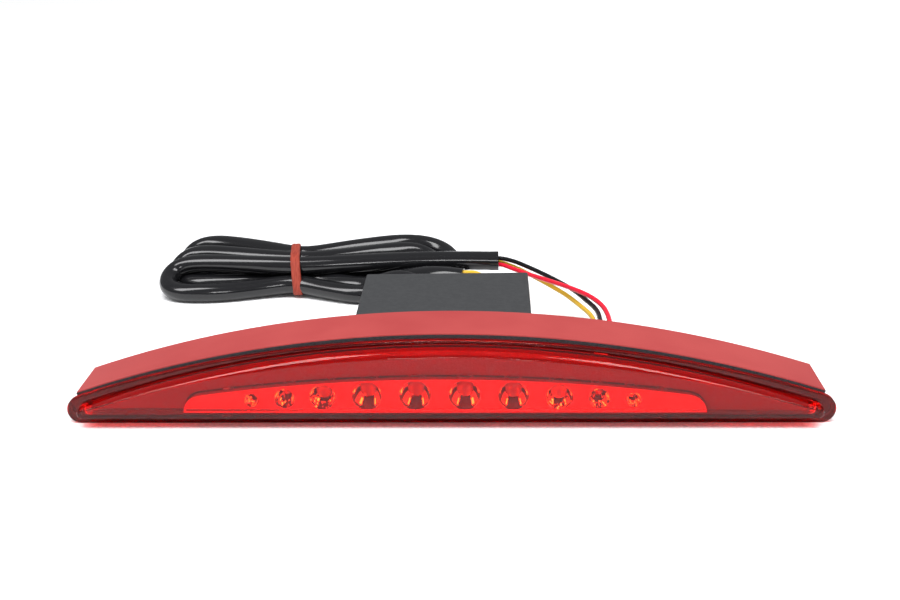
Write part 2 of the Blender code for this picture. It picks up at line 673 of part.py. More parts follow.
def hank_outline():
    """Two round lobes joined by the narrow waist under the band, as (x, distance back)."""
    points = []
    waist = BAND_X - BAND_WIDTH, BAND_X + BAND_WIDTH
    for step in range(17):
        angle = math.radians(55.0 + 250.0 * step / 16)
        points.append(HANK_LEFT + HANK_LOBE_RADIUS * Vector((math.cos(angle), math.sin(angle))))
    points += [Vector((x, BUNDLE_Y - BUNDLE_HALF_WIDTH)) for x in waist]
    for step in range(17):
        angle = math.radians(235.0 + 250.0 * step / 16)
        points.append(HANK_RIGHT + HANK_LOBE_RADIUS * Vector((math.cos(angle), math.sin(angle))))
    points += [Vector((x, BUNDLE_Y + BUNDLE_HALF_WIDTH)) for x in reversed(waist)]
    return points


def make_hank(parts, guides):
    """The folded sleeve as one closed solid of its outer shape, clear of the band beneath it."""
    level = [[Vector((point.x, FRONT_Y + point.y, height)) for point in hank_outline()]
             for height in (0.0, HANK_HEIGHT)]
    hank = loft("harness_hank", level, parts, black_vinyl())
    half = BAND_WIDTH / 2.0 + GAP
    low = (BAND_X - half, FRONT_Y + BUNDLE_Y - 2.0 * BUNDLE_HALF_WIDTH, -MM)
    high = (BAND_X + half, FRONT_Y + BUNDLE_Y + 2.0 * BUNDLE_HALF_WIDTH, BUNDLE_LIFT)
    boolean(hank, block("band_room_guide", low, high, guides, None), "DIFFERENCE")
    return hank


def make_rubber_band(parts):
    """Flat red band round the waist of the bundle."""
    low = Vector((BUNDLE_Y - BUNDLE_HALF_WIDTH - GAP, BUNDLE_LIFT - GAP))
    high = Vector((BUNDLE_Y + BUNDLE_HALF_WIDTH + GAP, HANK_HEIGHT + GAP))

    def around(x, grow):
        corners = []
        radius = GAP + grow
        inside = Vector((GAP, GAP))
        centres = (high - inside, Vector((low.x + inside.x, high.y - inside.y)), low + inside,
                   Vector((high.x - inside.x, low.y + inside.y)))
        for quarter, centre in enumerate(centres):
            for step in range(4):
                angle = math.radians(90.0 * quarter + 30.0 * step)
                corners.append(Vector((x, FRONT_Y + centre.x + radius * math.cos(angle),
                                       centre.y + radius * math.sin(angle))))
        return corners

    left = BAND_X - BAND_WIDTH / 2.0
    right = BAND_X + BAND_WIDTH / 2.0
    rings = [around(left, 0.0), around(left, BAND_THICKNESS),
             around(right, BAND_THICKNESS), around(right, 0.0)]
    return loft("rubber_band", rings, parts, material("red rubber", (0.45, 0.05, 0.03), 0.6), joined=True)


def make_tails(parts):
    """Three stripped wire ends that leave the far end of the sleeve."""
    colours = {"tail_black": (0.01, 0.01, 0.01), "tail_red": (0.6, 0.01, 0.02),
               "tail_yellow": (0.75, 0.5, 0.03)}
    for name, points in TAIL_ROUTES.items():
        tube(name, behind(points), WIRE_RADIUS, parts, material(name + " cover", colours[name], 0.35))


def build():
    clear_scene()
    parts = new_collection("fender_edge_tail_light")
    guides = new_collection("cutters and guides")
    make_lens(parts)
    make_lens_seal(parts)
    make_inner_bezel(parts)
    make_reflector_plate(parts, guides)
    for number, x, height, _, size in cup_places():
        make_led(number, x, height, size, parts)
    make_led_board(parts)
    make_board_screw("board_screw_left", -1, parts)
    make_board_screw("board_screw_right", 1, parts)
    make_housing(parts, guides)
    make_grommet(parts)
    make_arc_strip("foam_tape", TAPE_RADIUS, TAPE_THICKNESS, parts,
                   material("black foam", (0.02, 0.02, 0.02), 0.9))
    make_arc_strip("tape_liner", TAPE_RADIUS + TAPE_THICKNESS + GAP, LINER_THICKNESS, parts,
                   material("red release liner", (0.6, 0.12, 0.12), 0.55))
    make_module_box(parts, guides)
    make_module_lid(parts, guides)
    make_driver_board(parts)
    make_driver_parts(parts)
    make_leads(parts)
    make_wires(parts)
    make_sleeve_end(parts)
    make_hank(parts, guides)
    make_rubber_band(parts)
    make_tails(parts)


build()
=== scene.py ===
import math
import random

import bmesh
import bpy
from mathutils import Matrix, Vector


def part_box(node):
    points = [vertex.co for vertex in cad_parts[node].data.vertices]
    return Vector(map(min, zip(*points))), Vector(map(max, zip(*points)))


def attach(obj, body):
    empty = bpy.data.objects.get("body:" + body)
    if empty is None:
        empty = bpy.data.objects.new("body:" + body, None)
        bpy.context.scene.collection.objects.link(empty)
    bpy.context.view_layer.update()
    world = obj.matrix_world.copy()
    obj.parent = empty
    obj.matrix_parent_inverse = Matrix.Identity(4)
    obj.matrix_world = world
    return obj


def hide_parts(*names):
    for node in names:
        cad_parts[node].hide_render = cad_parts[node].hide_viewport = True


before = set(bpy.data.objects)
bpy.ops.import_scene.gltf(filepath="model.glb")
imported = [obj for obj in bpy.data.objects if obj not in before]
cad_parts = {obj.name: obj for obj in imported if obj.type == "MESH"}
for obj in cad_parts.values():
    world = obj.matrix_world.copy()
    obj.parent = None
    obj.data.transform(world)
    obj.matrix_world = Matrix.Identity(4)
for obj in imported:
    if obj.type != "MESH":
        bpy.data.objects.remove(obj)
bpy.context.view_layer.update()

MM = 0.001

# ---- places from the CAD ------------------------------------------------------------------
DOME_DEPTH = 5.0 * MM
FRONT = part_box("lens")[0].y + DOME_DEPTH     # the flange's front face; routes are measured back from it

# ---- lens, in metres ----------------------------------------------------------------------
FLANGE = dict(radius=342.4 * MM, apex=25.2 * MM, base=0.0, tip=4.1 * MM)
DOME_ROOT = dict(radius=307.0 * MM, apex=24.6 * MM, base=3.2 * MM, tip=1.5 * MM)
DOME_FRONT = dict(radius=348.0 * MM, apex=21.9 * MM, base=3.6 * MM, tip=1.2 * MM)
DOME_STRAIGHT = 1.2 * MM
SHOULDER_POWER = 1.3                     # 1 is an elliptical shoulder, 2 a straight chamfer
FLANGE_THICKNESS = 2.0 * MM
LENS_WALL = 1.1 * MM
INNER_TIP = 0.6 * MM                     # radius of the hollow's round ends
EDGE_ROUND = 0.25 * MM                   # rounded front edge of the flange
SEAL_INSET = 0.35 * MM
SEAL_WIDTH = 1.3 * MM
SEAL_THICKNESS = 1.25 * MM
SKIN_GAP = 0.02 * MM                     # keeps two faces from lying in one plane
TAPE_RADIUS = 335.0 * MM                 # the tape's arc passes just above the flange
TAPE_CENTRE_Z = 25.6 * MM - TAPE_RADIUS
FOAM_BOTTOM = TAPE_RADIUS - 0.6 * MM
LINER_BOTTOM = TAPE_RADIUS + 0.65 * MM
LINER_TOP = LINER_BOTTOM + 0.33 * MM
STRIP_STEPS = 120

# ---- reflector plate ----------------------------------------------------------------------
WINDOW = dict(radius=504.0 * MM, apex=14.9 * MM, base=4.8 * MM)
CUP_FRONT = -2.6 * MM
CUP_BACK = 3.6 * MM
CUP_SECTORS = 60
CUP_RINGS = 8
CUP_INSET = 0.28 * MM                    # the lining lies this far inside the CAD bowl
LED_RIM = 0.4 * MM                       # the LED's foot is this much wider than its dome
LED_FOOT = 1.0 * MM
LED_SIDES = 40
DOME_STEPS = 13
PAINTED_LIT, PAINTED_SHADE, PAINTED_GLINT = 0, 1, 2            # the cup's materials, in their order on the piece: painted light, painted shade and painted glint, which stand in for the bowl's reflections
# random mix of painted light, shade and glint for the jumbled reflections of the outer cups
MUDDLED = (PAINTED_LIT, PAINTED_LIT, PAINTED_SHADE, PAINTED_SHADE, PAINTED_SHADE, PAINTED_LIT, PAINTED_SHADE, PAINTED_GLINT)
# distance from the middle, mouth diameter, throat radius, in millimetres
CUPS = ((7.0, 9.0, 2.7), (20.7, 8.6, 2.7), (33.5, 7.6, 2.7), (44.5, 6.0, 1.7), (54.1, 4.3, 1.7))

# ---- wires, sleeve and tails: X, distance back, height in millimetres -----------------------
WIRE_ROUTES = {
    "wire_black": ((46.9, 22.0, 12.9), (47.4, 31.0, 12.6), (48.6, 42.0, 12.1), (49.2, 53.9, 11.2),
                   (48.8, 64.0, 10.8), (46.4, 73.5, 10.6), (42.2, 85.7, 10.5), (35.3, 97.3, 11.0),
                   (28.2, 107.6, 11.4), (23.0, 114.2, 11.6), (18.5, 118.0, 11.6), (14.5, 118.4, 11.6)),
    "wire_red": ((48.6, 22.0, 11.8), (49.6, 31.0, 11.9), (51.2, 42.0, 11.9), (51.9, 51.6, 11.9),
                 (50.9, 62.4, 12.3), (47.4, 71.6, 12.7), (41.4, 81.0, 12.6), (34.0, 94.3, 11.0),
                 (27.6, 105.0, 9.8), (22.8, 112.4, 9.3), (18.5, 117.5, 9.3), (14.5, 117.9, 9.3)),
    "wire_yellow": ((45.4, 22.0, 11.7), (45.7, 31.0, 11.4), (46.6, 42.0, 10.7), (47.4, 56.5, 9.6),
                    (46.9, 64.5, 8.9), (45.2, 72.1, 8.4), (40.6, 86.8, 7.8), (35.2, 97.4, 8.0),
                    (28.9, 107.8, 8.4), (23.6, 115.0, 8.9), (18.5, 119.6, 9.4), (14.5, 120.2, 9.5)),
}
WIRE_DIAMETER = 1.6 * MM
TAIL_ROUTES = {
    "tail_yellow": ((3.0, 102.8, 11.4), (5.4, 103.3, 11.2), (9.4, 105.2, 10.2), (13.4, 105.6, 7.4),
                    (16.0, 103.0, 3.8), (16.8, 98.0, 1.0), (16.4, 91.0, 0.9)),
    "tail_red": ((3.0, 101.4, 8.8), (5.4, 101.4, 8.6), (8.6, 101.4, 7.2), (11.2, 100.0, 3.8),
                 (12.4, 96.4, 1.1), (12.2, 91.0, 0.9), (10.6, 84.0, 0.9)),
    "tail_black": ((3.0, 103.2, 8.5), (5.4, 103.6, 8.2), (9.4, 105.4, 6.4), (14.4, 106.8, 2.8),
                   (19.2, 104.2, 1.0), (21.6, 98.8, 0.9), (22.2, 90.6, 0.9)),
}
SLEEVE_DIAMETER = 6.95 * MM
SLEEVE_MOUTH = (17.2, 119.0, 10.4)
RIM_WALL = 0.75 * MM
RIM_LENGTH = 3.0 * MM
RIM_LIP = 0.15 * MM
SLEEVE_ROUTE = (
    # near end to the band, and the front fold on the left
    (17.2, 119.0, 10.4), (5.0, 119.3, 10.6), (-8.0, 118.8, 10.9), (-22.5, 117.2, 11.1),
    (-38.0, 115.6, 11.0), (-49.0, 115.2, 10.7), (-58.0, 115.2, 10.6), (-68.0, 115.8, 10.8),
    (-79.0, 117.2, 10.9), (-90.0, 119.0, 10.8), (-98.5, 120.2, 10.2), (-104.0, 119.2, 8.6),
    (-106.3, 115.2, 6.2), (-105.0, 110.4, 4.4), (-100.2, 107.2, 3.5), (-92.0, 106.2, 3.5),
    (-82.0, 107.2, 3.5), (-70.0, 110.6, 3.8), (-58.0, 112.2, 4.6),
    # inner fold on the right
    (-48.0, 108.6, 4.0), (-35.0, 103.2, 3.5), (-24.0, 102.4, 3.5), (-15.0, 105.0, 3.5),
    (-9.5, 110.0, 3.5), (-6.4, 117.0, 3.5), (-5.6, 124.0, 3.8), (-6.8, 130.0, 6.0),
    (-11.0, 133.6, 8.8), (-18.0, 133.2, 10.4), (-27.0, 129.2, 10.9), (-40.0, 124.6, 10.8),
    (-50.0, 122.3, 10.6), (-58.0, 121.9, 10.6),
    # middle fold on the left
    (-70.0, 124.4, 10.8), (-83.0, 128.0, 11.0), (-94.0, 131.2, 10.8), (-101.0, 132.0, 9.6),
    (-105.0, 129.0, 6.9), (-104.6, 124.2, 4.4), (-99.8, 119.4, 3.5), (-92.0, 117.0, 3.5),
    (-80.0, 116.8, 3.5), (-68.0, 118.2, 4.2), (-58.0, 118.9, 4.6),
    # outer fold on the right, which crosses over the inner one
    (-48.0, 116.2, 4.6), (-38.0, 111.2, 4.4), (-30.0, 108.6, 4.6), (-24.0, 104.8, 7.4),
    (-17.0, 102.0, 9.4), (-9.0, 102.0, 6.2), (-2.0, 103.6, 3.6), (2.6, 109.0, 3.5),
    (3.2, 117.0, 3.5), (2.4, 125.0, 3.6), (1.2, 132.0, 4.8), (-2.6, 138.8, 7.6),
    (-9.5, 142.6, 9.6), (-19.0, 142.8, 10.5), (-29.0, 138.6, 11.0), (-41.0, 133.4, 11.0),
    (-50.0, 129.8, 10.7), (-58.0, 128.5, 10.6),
    # back fold on the left, and the far end
    (-70.0, 134.0, 11.0), (-83.0, 140.2, 11.1), (-94.0, 144.0, 10.9), (-100.8, 143.0, 9.4),
    (-103.6, 138.8, 6.6), (-101.8, 134.0, 4.2), (-96.0, 129.8, 3.5), (-88.0, 126.8, 3.5),
    (-78.0, 125.2, 3.5), (-68.0, 125.2, 4.2), (-58.0, 125.6, 4.6), (-46.0, 123.6, 4.6),
    (-34.0, 120.0, 4.0), (-24.0, 116.0, 4.4), (-15.0, 111.2, 7.0), (-6.0, 105.4, 9.6),
    (4.6, 102.4, 9.4),
)
BAND_X = -58.0
BAND_WIDTH = 3.5
BAND_THICKNESS = 0.9
BAND_LEAN = (0.10, 0.05)                 # how far it leans to the left per millimetre back and up
# along the band's width, share of its thickness
BAND_SECTION = ((-0.5, 0.0), (-0.44, 0.7), (-0.3, 1.0), (0.0, 0.9), (0.3, 1.0), (0.44, 0.7), (0.5, 0.0))
FIBRES = (6.0, 0.5, 0.5)                 # noise drawn out along the rubber band
BUNDLE_OUTLINE = ((108.2, 3.5), (110.4, 12.0), (114.4, 14.6), (122.0, 14.9), (129.6, 14.6), (132.6, 11.0),
                  (131.2, 5.4), (127.4, 1.1), (118.9, 0.8), (110.8, 1.0))

# ---- camera and floor -----------------------------------------------------------------------
FLOOR_REACH = 1.6
FLOOR_GAP = 0.05 * MM
CAMERA_PLACE = Vector((15.45, -340.41, 158.11)) * MM
CAMERA_PITCH = math.radians(19.39)
CAMERA_YAW = math.radians(5.95)
CAMERA_ROLL = math.radians(-2.56)
CAMERA_LENS = 52.0
CAMERA_SHIFT = 0.0933


def make_camera():
    data = bpy.data.cameras.new("camera")
    data.lens = CAMERA_LENS
    data.sensor_width = 36.0
    data.shift_x = CAMERA_SHIFT
    data.clip_start = 0.01
    data.clip_end = 20.0
    camera = bpy.data.objects.new("camera", data)
    bpy.context.scene.collection.objects.link(camera)
    forward = Vector((-math.sin(CAMERA_YAW) * math.cos(CAMERA_PITCH),
                      math.cos(CAMERA_YAW) * math.cos(CAMERA_PITCH), -math.sin(CAMERA_PITCH)))
    level = Vector((math.cos(CAMERA_YAW), math.sin(CAMERA_YAW), 0.0))
    upright = level.cross(forward)
    right = math.cos(CAMERA_ROLL) * level + math.sin(CAMERA_ROLL) * upright
    up = math.cos(CAMERA_ROLL) * upright - math.sin(CAMERA_ROLL) * level
    turn = Matrix((right, up, -forward)).transposed().to_4x4()
    camera.matrix_world = Matrix.Translation(CAMERA_PLACE + Vector((0.0, FRONT, 0.0))) @ turn
    bpy.context.scene.camera = camera


# ---- materials ----------------------------------------------------------------------------
def new_material(name, colour, roughness, **sockets):
    """Principled material; the other sockets are named with underscores for spaces."""
    made = bpy.data.materials.new(name)
    made.use_nodes = True
    shader = made.node_tree.nodes["Principled BSDF"]
    shader.inputs["Base Color"].default_value = (*colour, 1.0)
    shader.inputs["Roughness"].default_value = roughness
    for key, value in sockets.items():
        shader.inputs[key.replace("_", " ")].default_value = value
    return made


def noise_node(made, scale, detail=3.0, stretch=(1.0, 1.0, 1.0)):
    nodes = made.node_tree.nodes
    links = made.node_tree.links
    place = nodes.new("ShaderNodeTexCoord")
    mapping = nodes.new("ShaderNodeMapping")
    mapping.inputs["Scale"].default_value = stretch
    noise = nodes.new("ShaderNodeTexNoise")
    noise.inputs["Scale"].default_value = scale
    noise.inputs["Detail"].default_value = detail
    links.new(place.outputs["Object"], mapping.inputs["Vector"])
    links.new(mapping.outputs["Vector"], noise.inputs["Vector"])
    return noise


def mottle(made, scale, first, second, stretch=(1.0, 1.0, 1.0)):
    """Varies the base colour between two close colours."""
    nodes = made.node_tree.nodes
    links = made.node_tree.links
    noise = noise_node(made, scale, stretch=stretch)
    ramp = nodes.new("ShaderNodeValToRGB")
    ramp.color_ramp.elements[0].position = 0.35
    ramp.color_ramp.elements[1].position = 0.65
    ramp.color_ramp.elements[0].color = (*first, 1.0)
    ramp.color_ramp.elements[1].color = (*second, 1.0)
    links.new(noise.outputs["Fac"], ramp.inputs["Fac"])
    links.new(ramp.outputs["Color"], nodes["Principled BSDF"].inputs["Base Color"])
    return made


def grain(made, scale, strength, stretch=(1.0, 1.0, 1.0), distance=0.0002):
    """Fine surface relief from noise."""
    nodes = made.node_tree.nodes
    links = made.node_tree.links
    noise = noise_node(made, scale, stretch=stretch)
    bump = nodes.new("ShaderNodeBump")
    bump.inputs["Strength"].default_value = strength
    bump.inputs["Distance"].default_value = distance
    links.new(noise.outputs["Fac"], bump.inputs["Height"])
    links.new(bump.outputs["Normal"], nodes["Principled BSDF"].inputs["Normal"])
    return made


def make_materials():
    return {
        "lens": new_material("red lens", (0.93, 0.016, 0.012), 0.02, IOR=1.35,
                             Transmission_Weight=0.98, Specular_IOR_Level=0.25),
        "seal": grain(new_material("black sealant", (0.012, 0.010, 0.010), 0.5), 900.0, 0.2),
        "surround": grain(new_material("dark surround", (0.27, 0.03, 0.03), 0.7), 1500.0, 0.4),
        "plate": grain(new_material("bright plate", (0.93, 0.80, 0.74), 0.16, Metallic=1.0), 300.0, 0.05),
        "led": grain(new_material("led resin", (0.45, 0.08, 0.06), 0.08, IOR=1.5, Transmission_Weight=0.2),
                     300.0, 0.02),
        # painted reflections of the cups: lit facets glow a little, dark facets are painted shade, glints
        # are painted highlights that glow brightly through the red lens
        "cup_painted_lit": grain(new_material("cup painted lit reflection", (0.80, 0.72, 0.70), 0.3,
                                         Emission_Color=(1.0, 0.6, 0.6, 1.0),
                                         Emission_Strength=0.5), 400.0, 0.05),
        "cup_painted_shade": grain(new_material("shaded cup", (0.07, 0.03, 0.03), 0.3), 400.0, 0.05),
        "cup_painted_glint": grain(new_material("cup painted glint", (1.0, 0.9, 0.5), 0.2,
                                        Emission_Color=(0.8, 1.0, 0.15, 1.0),
                                        Emission_Strength=30.0), 400.0, 0.05),
        "board": mottle(new_material("circuit board", (0.02, 0.12, 0.04), 0.4), 500.0,
                        (0.015, 0.10, 0.03), (0.03, 0.16, 0.06)),
        "steel": grain(new_material("screw steel", (0.6, 0.6, 0.6), 0.3, Metallic=1.0), 2000.0, 0.1),
        "housing": grain(new_material("black housing", (0.008, 0.008, 0.009), 0.35), 1200.0, 0.15),
        "rubber": grain(new_material("black grommet", (0.012, 0.012, 0.012), 0.6), 900.0, 0.2),
        "foam": grain(mottle(new_material("black foam", (0.02, 0.02, 0.02), 0.9), 2500.0,
                             (0.008, 0.008, 0.010), (0.035, 0.035, 0.04)), 2500.0, 0.6),
        "liner": grain(mottle(new_material("red liner", (0.30, 0.04, 0.04), 0.45,
                                           Specular_IOR_Level=0.25), 35.0,
                              (0.30, 0.036, 0.036), (0.34, 0.048, 0.046)), 120.0, 0.15),
        "box": grain(mottle(new_material("grey box", (0.035, 0.037, 0.039), 0.6,
                                         Specular_IOR_Level=0.15), 700.0,
                            (0.035, 0.036, 0.038), (0.041, 0.042, 0.044)), 1800.0, 0.12),
        "capacitor": grain(new_material("capacitor sleeve", (0.02, 0.03, 0.12), 0.4), 800.0, 0.1),
        "chip": grain(new_material("regulator", (0.01, 0.01, 0.01), 0.5), 1500.0, 0.2),
        "resistor": mottle(new_material("resistor", (0.5, 0.42, 0.3), 0.5), 900.0,
                           (0.48, 0.40, 0.28), (0.53, 0.45, 0.33)),
        "wire_black": grain(new_material("black wire", (0.006, 0.006, 0.007), 0.3,
                                         Specular_IOR_Level=0.25), 500.0, 0.08),
        "wire_red": grain(new_material("red wire", (0.62, 0.010, 0.03), 0.3,
                                       Specular_IOR_Level=0.3), 500.0, 0.08),
        "wire_yellow": grain(new_material("yellow wire", (0.58, 0.36, 0.025), 0.35,
                                          Specular_IOR_Level=0.3), 500.0, 0.08),
        "sleeve": grain(new_material("black sleeve", (0.007, 0.007, 0.008), 0.14, Specular_IOR_Level=0.5),
                        90.0, 0.10, stretch=(0.3, 1.0, 1.0)),
        "band": grain(mottle(new_material("red rubber band", (0.40, 0.055, 0.035), 0.6,
                                          Specular_IOR_Level=0.2), 700.0,
                             (0.20, 0.028, 0.018), (0.32, 0.055, 0.035), stretch=FIBRES),
                      900.0, 0.5, stretch=FIBRES),
        "floor": grain(mottle(new_material("floor", (0.86, 0.86, 0.87), 0.7), 900.0,
                              (0.74, 0.74, 0.75), (0.88, 0.88, 0.89)), 1400.0, 0.5),
    }


def wear(piece, finish):
    piece.data.materials.clear()
    piece.data.materials.append(finish)
    return piece


# ---- shapes -------------------------------------------------------------------------------
def new_piece(name, data, finish):
    piece = bpy.data.objects.new(name, data)
    bpy.context.scene.collection.objects.link(piece)
    wear(piece, finish)
    return piece


def placed(x, back, height):
    return Vector((x * MM, FRONT + back * MM, height * MM))


def through(points, steps):
    """Catmull-Rom curve from the second point to the last but one."""
    route = []
    for a, b, c, d in zip(points, points[1:], points[2:], points[3:]):
        for step in range(steps):
            t = step / steps
            route.append(0.5 * (2.0 * b + (c - a) * t + (2.0 * a - 5.0 * b + 4.0 * c - d) * t ** 2
                                + (3.0 * b - a - 3.0 * c + d) * t ** 3))
    return route


def smooth_route(points, steps):
    """Smooth curve through all the points, with this many steps between two of them."""
    ends = [2.0 * points[0] - points[1]] + list(points) + [2.0 * points[-1] - points[-2]]
    return through(ends, steps) + [Vector(points[-1])]


def relaxed(points, rounds):
    """The same line with its sharp bends evened out; both ends stay."""
    line = list(points)
    for _ in range(rounds):
        middle = [(a + 2.0 * b + c) / 4.0 for a, b, c in zip(line, line[1:], line[2:])]
        line = [line[0]] + middle + [line[-1]]
    return line


def cord_curve(name, points, diameter, finish):
    curve = bpy.data.curves.new(name, "CURVE")
    curve.dimensions = "3D"
    curve.bevel_depth = diameter / 2.0
    curve.bevel_resolution = 6
    curve.use_fill_caps = True
    spline = curve.splines.new("POLY")
    spline.points.add(len(points) - 1)
    for point, place in zip(spline.points, points):
        point.co = (*place, 1.0)
    spline.use_smooth = True
    return new_piece(name, curve, finish)


def crescent(radius, apex, base, tip, steps=96, tip_steps=12):
    """Arched outline with a straight base and fully rounded ends, as (x, z) points."""
    centre_z = apex - radius
    tip_z = base + tip
    tip_x = math.sqrt((radius - tip) ** 2 - (tip_z - centre_z) ** 2)
    joint = math.atan2(tip_x, tip_z - centre_z)
    top = []
    for step in range(steps + 1):
        angle = joint * (2.0 * step / steps - 1.0)
        top.append((radius * math.sin(angle), centre_z + radius * math.cos(angle)))
    end = []
    for step in range(1, tip_steps + 1):
        angle = joint + (math.pi - joint) * step / tip_steps
        end.append((tip_x + tip * math.sin(angle), tip_z + tip * math.cos(angle)))
    return top + end + [(-x, z) for x, z in reversed(end)]


def between(first, second, share):
    return {key: first[key] + (second[key] - first[key]) * share for key in first}


def inset(shape, amount, tip):
    return dict(radius=shape["radius"] - amount, apex=shape["apex"] - amount,
                base=shape["base"] + amount, tip=tip)


def ring(outline, back):
    return [Vector((x, FRONT + back, z)) for x, z in outline]


def finish_mesh(name, body, finish, sharp=30.0):
    bmesh.ops.recalc_face_normals(body, faces=body.faces)
    mesh = bpy.data.meshes.new(name)
    body.to_mesh(mesh)
    body.free()
    mesh.shade_smooth()
    mesh.set_sharp_from_angle(angle=math.radians(sharp))
    return new_piece(name, mesh, finish)


def loft(name, rings, finish, joined=False, sharp=30.0):
    """Skin through rings of equal point count; capped at both ends, or joined into a loop."""
    body = bmesh.new()
    rows = [[body.verts.new(point) for point in points] for points in rings]
    count = len(rows[0])
    pairs = list(zip(rows, rows[1:]))
    if joined:
        pairs.append((rows[-1], rows[0]))
    else:
        body.faces.new(rows[0])
        body.faces.new(rows[-1])
    for first, second in pairs:
        for step in range(count):
            after = (step + 1) % count
            body.faces.new((first[step], first[after], second[after], second[step]))
    return finish_mesh(name, body, finish, sharp)


# ---- cords --------------------------------------------------------------------------------
def make_wires(looks):
    for name, points in WIRE_ROUTES.items():
        line = smooth_route([placed(*point) for point in points], 8)
        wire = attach(cord_curve(f"{name}_cover", line, WIRE_DIAMETER, looks[name]), "root")
        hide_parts(name)


def make_tails(looks):
    tails = []
    for name, points in TAIL_ROUTES.items():
        line = smooth_route([placed(*point) for point in points], 8)
        wire = name.replace("tail", "wire")
        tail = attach(cord_curve(f"{name}_cover", line, WIRE_DIAMETER, looks[wire]), "root")
        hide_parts(name)
        tails.append(tail)
    return tails


def make_sleeve(looks):
    line = relaxed(smooth_route([placed(*point) for point in SLEEVE_ROUTE], 8), 12)
    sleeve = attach(cord_curve("sleeve", line, SLEEVE_DIAMETER, looks["sleeve"]), "root")
    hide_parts("harness_hank", "sleeve_end")


def make_band(looks):
    """Flat rubber band drawn round the bundle's outline."""
    outline = [Vector((back, height)) for back, height in BUNDLE_OUTLINE]
    loop = through(outline + outline[:3], 6)
    middle = sum(loop, Vector((0.0, 0.0))) / len(loop)
    rings = []
    for along, out in BAND_SECTION:
        row = []
        for point in loop:
            away = (point - middle).normalized()
            lean = BAND_LEAN[1] * (point.y - middle.y) + BAND_LEAN[0] * (point.x - middle.x)
            place = point + away * (out - 0.5) * BAND_THICKNESS
            row.append(placed(BAND_X + along * BAND_WIDTH - lean, place.x, place.y))
        rings.append(row)
    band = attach(loft("band", rings, looks["band"], joined=True, sharp=50.0), "root")
    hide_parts("rubber_band")
    return band


def make_sleeve_rim(looks):
    """Cut rim at the sleeve's near end, open so that the wires go in."""
    outer = SLEEVE_DIAMETER / 2.0 + 0.05 * MM
    inner = outer - RIM_WALL
    centre = placed(*SLEEVE_MOUTH)
    rows = []
    for x, radius in ((-RIM_LENGTH, outer), (0.0, outer), (RIM_LIP, outer - 0.12 * MM),
                      (RIM_LIP, inner), (0.0, inner), (-RIM_LENGTH, inner)):
        rows.append([centre + Vector((x, radius * math.cos(angle), radius * math.sin(angle)))
                     for angle in (2.0 * math.pi * step / 48 for step in range(48))])
    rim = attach(loft("sleeve_rim", rows, looks["sleeve"], joined=True), "root")
    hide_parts("sleeve_end")
    return rim


# ---- lens ---------------------------------------------------------------------------------
def shoulder(root, front, reach, steps):
    """Rings of the rounded shoulder that leads from the straight wall to the front."""
    rings = []
    for step in range(1, steps + 1):
        angle = math.radians(90) * step / steps
        shape = between(root, front, 1.0 - math.cos(angle) ** SHOULDER_POWER)
        rings.append(ring(crescent(**shape), -DOME_STRAIGHT - reach * math.sin(angle) ** SHOULDER_POWER))
    return rings


def lens_rings():
    """Rings from the middle of the lens's front over its edge to the bottom of its hollow."""
    edge = EDGE_ROUND
    outer = [ring(crescent(**FLANGE), FLANGE_THICKNESS),
             ring(crescent(**FLANGE), edge),
             ring(crescent(**inset(FLANGE, 0.3 * edge, FLANGE["tip"] - 0.3 * edge)), 0.3 * edge),
             ring(crescent(**inset(FLANGE, edge, FLANGE["tip"] - edge)), 0.0),
             ring(crescent(**DOME_ROOT), 0.0),
             ring(crescent(**DOME_ROOT), -DOME_STRAIGHT)]
    reach = DOME_DEPTH - DOME_STRAIGHT
    outer += shoulder(DOME_ROOT, DOME_FRONT, reach, 18)
    mouth = inset(DOME_ROOT, LENS_WALL, INNER_TIP)
    floor = inset(DOME_FRONT, LENS_WALL, INNER_TIP)
    inner = [ring(crescent(**mouth), FLANGE_THICKNESS),
             ring(crescent(**mouth), -DOME_STRAIGHT)]
    inner += shoulder(mouth, floor, reach - LENS_WALL, 8)
    return list(reversed(outer)) + inner


def make_lens(looks):
    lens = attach(loft("lens_cover", lens_rings(), looks["lens"]), "root")
    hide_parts("lens")


def make_seal(looks):
    """Black bead that backs the flange all round."""
    outer = dict(radius=FLANGE["radius"] - SEAL_INSET, apex=FLANGE["apex"] - SEAL_INSET,
                 base=0.0, tip=3.9 * MM)
    inner = inset(FLANGE, SEAL_WIDTH, FLANGE["tip"] - SEAL_WIDTH)
    front = FLANGE_THICKNESS + SKIN_GAP
    back = FLANGE_THICKNESS + SEAL_THICKNESS
    rings = [ring(crescent(**outer), front), ring(crescent(**outer), back),
             ring(crescent(**inner), back), ring(crescent(**inner), front)]
    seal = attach(loft("seal_bead", rings, looks["seal"], joined=True), "root")
    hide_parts("lens_seal")


# ---- reflector cups and LEDs ----------------------------------------------------------------
def cup_places():
    """(number, X, height, mouth radius, throat radius, share of muddled facets) from left to right."""
    right = []
    for order, (distance, mouth, throat) in enumerate(CUPS):
        x = distance * MM
        top = WINDOW["apex"] - WINDOW["radius"] + math.sqrt(WINDOW["radius"] ** 2 - x ** 2)
        right.append((x, (WINDOW["base"] + top) / 2.0, mouth * MM / 2.0, throat * MM, order / 5.0))
    left = [(-x, *rest) for x, *rest in reversed(right)]
    return [(number, *cup) for number, cup in enumerate(left + right, start=1)]


